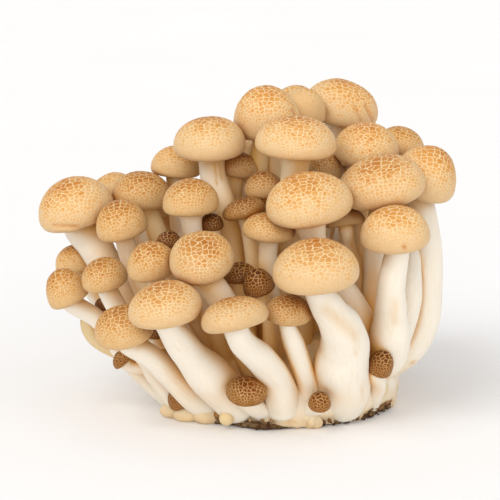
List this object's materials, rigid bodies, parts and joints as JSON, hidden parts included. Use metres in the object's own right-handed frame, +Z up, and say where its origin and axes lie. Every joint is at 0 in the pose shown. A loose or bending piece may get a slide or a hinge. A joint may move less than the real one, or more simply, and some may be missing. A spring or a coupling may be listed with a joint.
{
  "type": "beech mushroom cluster",
  "caption": "A standing cluster of brown beech mushrooms with net-patterned domed caps on curved white stems that fuse into one cut butt",
  "frame": {"origin": "on the ground, under the middle of the cluster's box", "axes": "+Z up, the pictured front faces -Y, +X to the viewer's right"},
  "size_m": [0.1039, 0.1056, 0.0797],
  "materials": {
    "stem_flesh": "satin white flesh with fine fibres along the stem",
    "cap_grown": "smooth satin skin, tan with a cracked net on the crown",
    "cap_middling": "smooth satin skin, brown tan with a cracked net on the crown",
    "cap_young": "smooth satin skin, dark brown with a pale cracked net",
    "growing_medium": "rough crumbs, bound by white threads"
  },
  "bodies": {
    "root": {"stems_and_butt": "stem_flesh", "growing_medium": "growing_medium", "cap_01": "cap_grown", "cap_02": "cap_middling", "cap_03": "cap_middling", "cap_04": "cap_middling", "cap_05": "cap_middling", "cap_06": "cap_grown", "cap_07": "cap_middling", "cap_08": "cap_middling", "cap_09": "cap_grown", "cap_10": "cap_middling", "cap_11": "cap_grown", "cap_12": "cap_middling", "cap_13": "cap_grown", "cap_14": "cap_grown", "cap_15": "cap_middling", "cap_16": "cap_grown", "cap_17": "cap_grown", "cap_18": "cap_grown", "cap_19": "cap_middling", "cap_20": "cap_middling", "cap_21": "cap_middling", "cap_22": "cap_middling", "cap_23": "cap_middling", "cap_24": "cap_grown", "cap_25": "cap_grown", "cap_26": "cap_middling", "cap_27": "cap_grown", "cap_28": "cap_middling", "cap_29": "cap_middling", "cap_30": "cap_middling", "cap_31": "cap_grown", "cap_32": "cap_middling", "cap_33": "cap_grown", "cap_34": "cap_young", "cap_35": "cap_young", "cap_36": "cap_middling", "cap_37": "cap_middling", "cap_38": "cap_young", "cap_39": "cap_young", "cap_40": "cap_young", "cap_41": "cap_young", "cap_42": "cap_grown", "cap_43": "cap_grown", "cap_44": "cap_grown", "cap_45": "cap_grown", "cap_46": "cap_grown", "cap_47": "cap_grown", "cap_48": "cap_middling", "cap_49": "cap_middling", "cap_50": "cap_grown", "cap_51": "cap_grown", "cap_52": "cap_grown", "cap_53": "cap_middling", "cap_54": "cap_middling", "cap_55": "cap_middling", "cap_56": "cap_young"}
  },
  "joints": []
}
